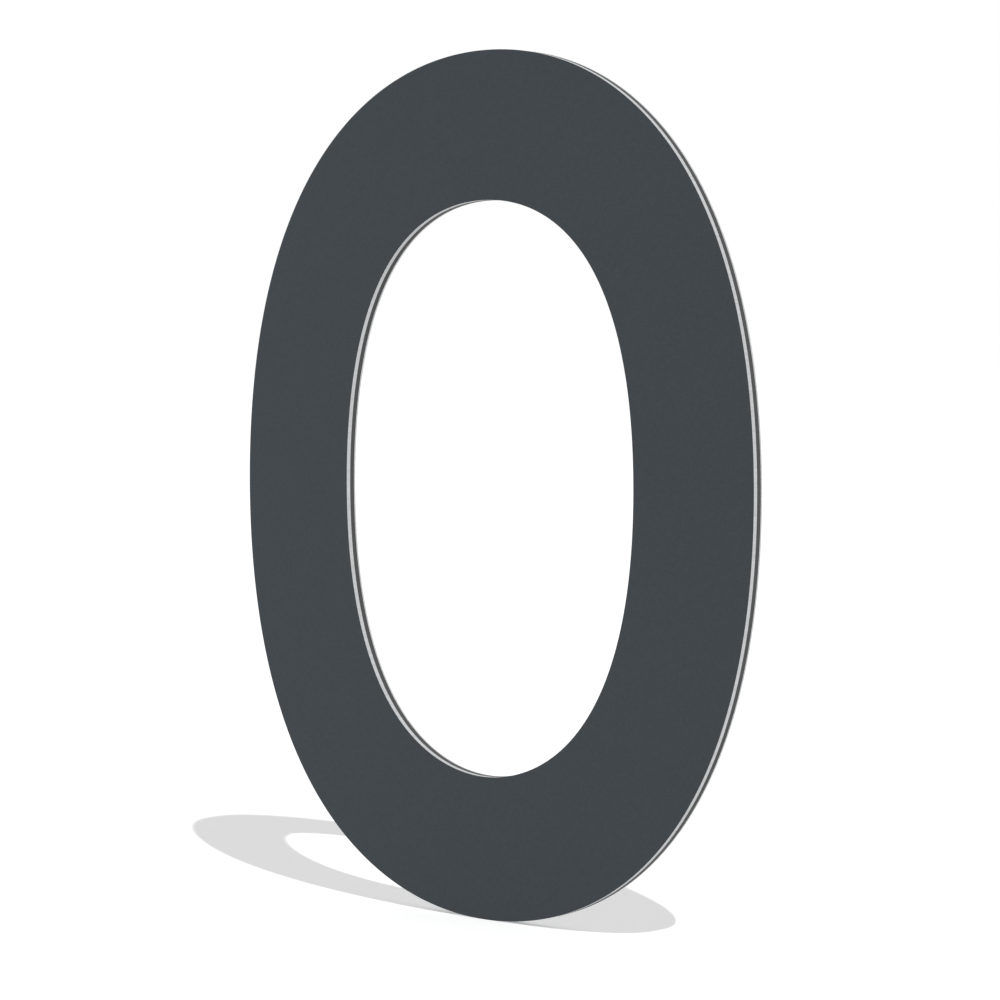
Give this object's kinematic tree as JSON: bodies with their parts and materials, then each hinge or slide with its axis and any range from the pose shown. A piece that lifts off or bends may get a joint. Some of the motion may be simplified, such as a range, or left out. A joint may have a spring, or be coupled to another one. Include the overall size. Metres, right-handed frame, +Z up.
{
  "type": "house number",
  "caption": "Flat oval numeral for a wall, cut in one piece from layered aluminium panel, with a dark lacquered face, bare light edges and a dark core line.",
  "frame": {"origin": "middle of the numeral: halfway up, halfway across and halfway through the panel", "axes": "+X to the right as the lacquered face is read, +Y from the lacquered face towards the wall, +Z up"},
  "size_m": [0.154, 0.003, 0.2],
  "materials": {
    "anthracite_lacquer": "matt anthracite lacquer on aluminium, bare on its cut edge",
    "dark_core": "matt, cut edge",
    "bare_aluminium": "mill finish with rolling grain, cut edge"
  },
  "bodies": {
    "root": {"front_sheet": "anthracite_lacquer", "core": "dark_core", "rear_sheet": "bare_aluminium"}
  },
  "joints": []
}
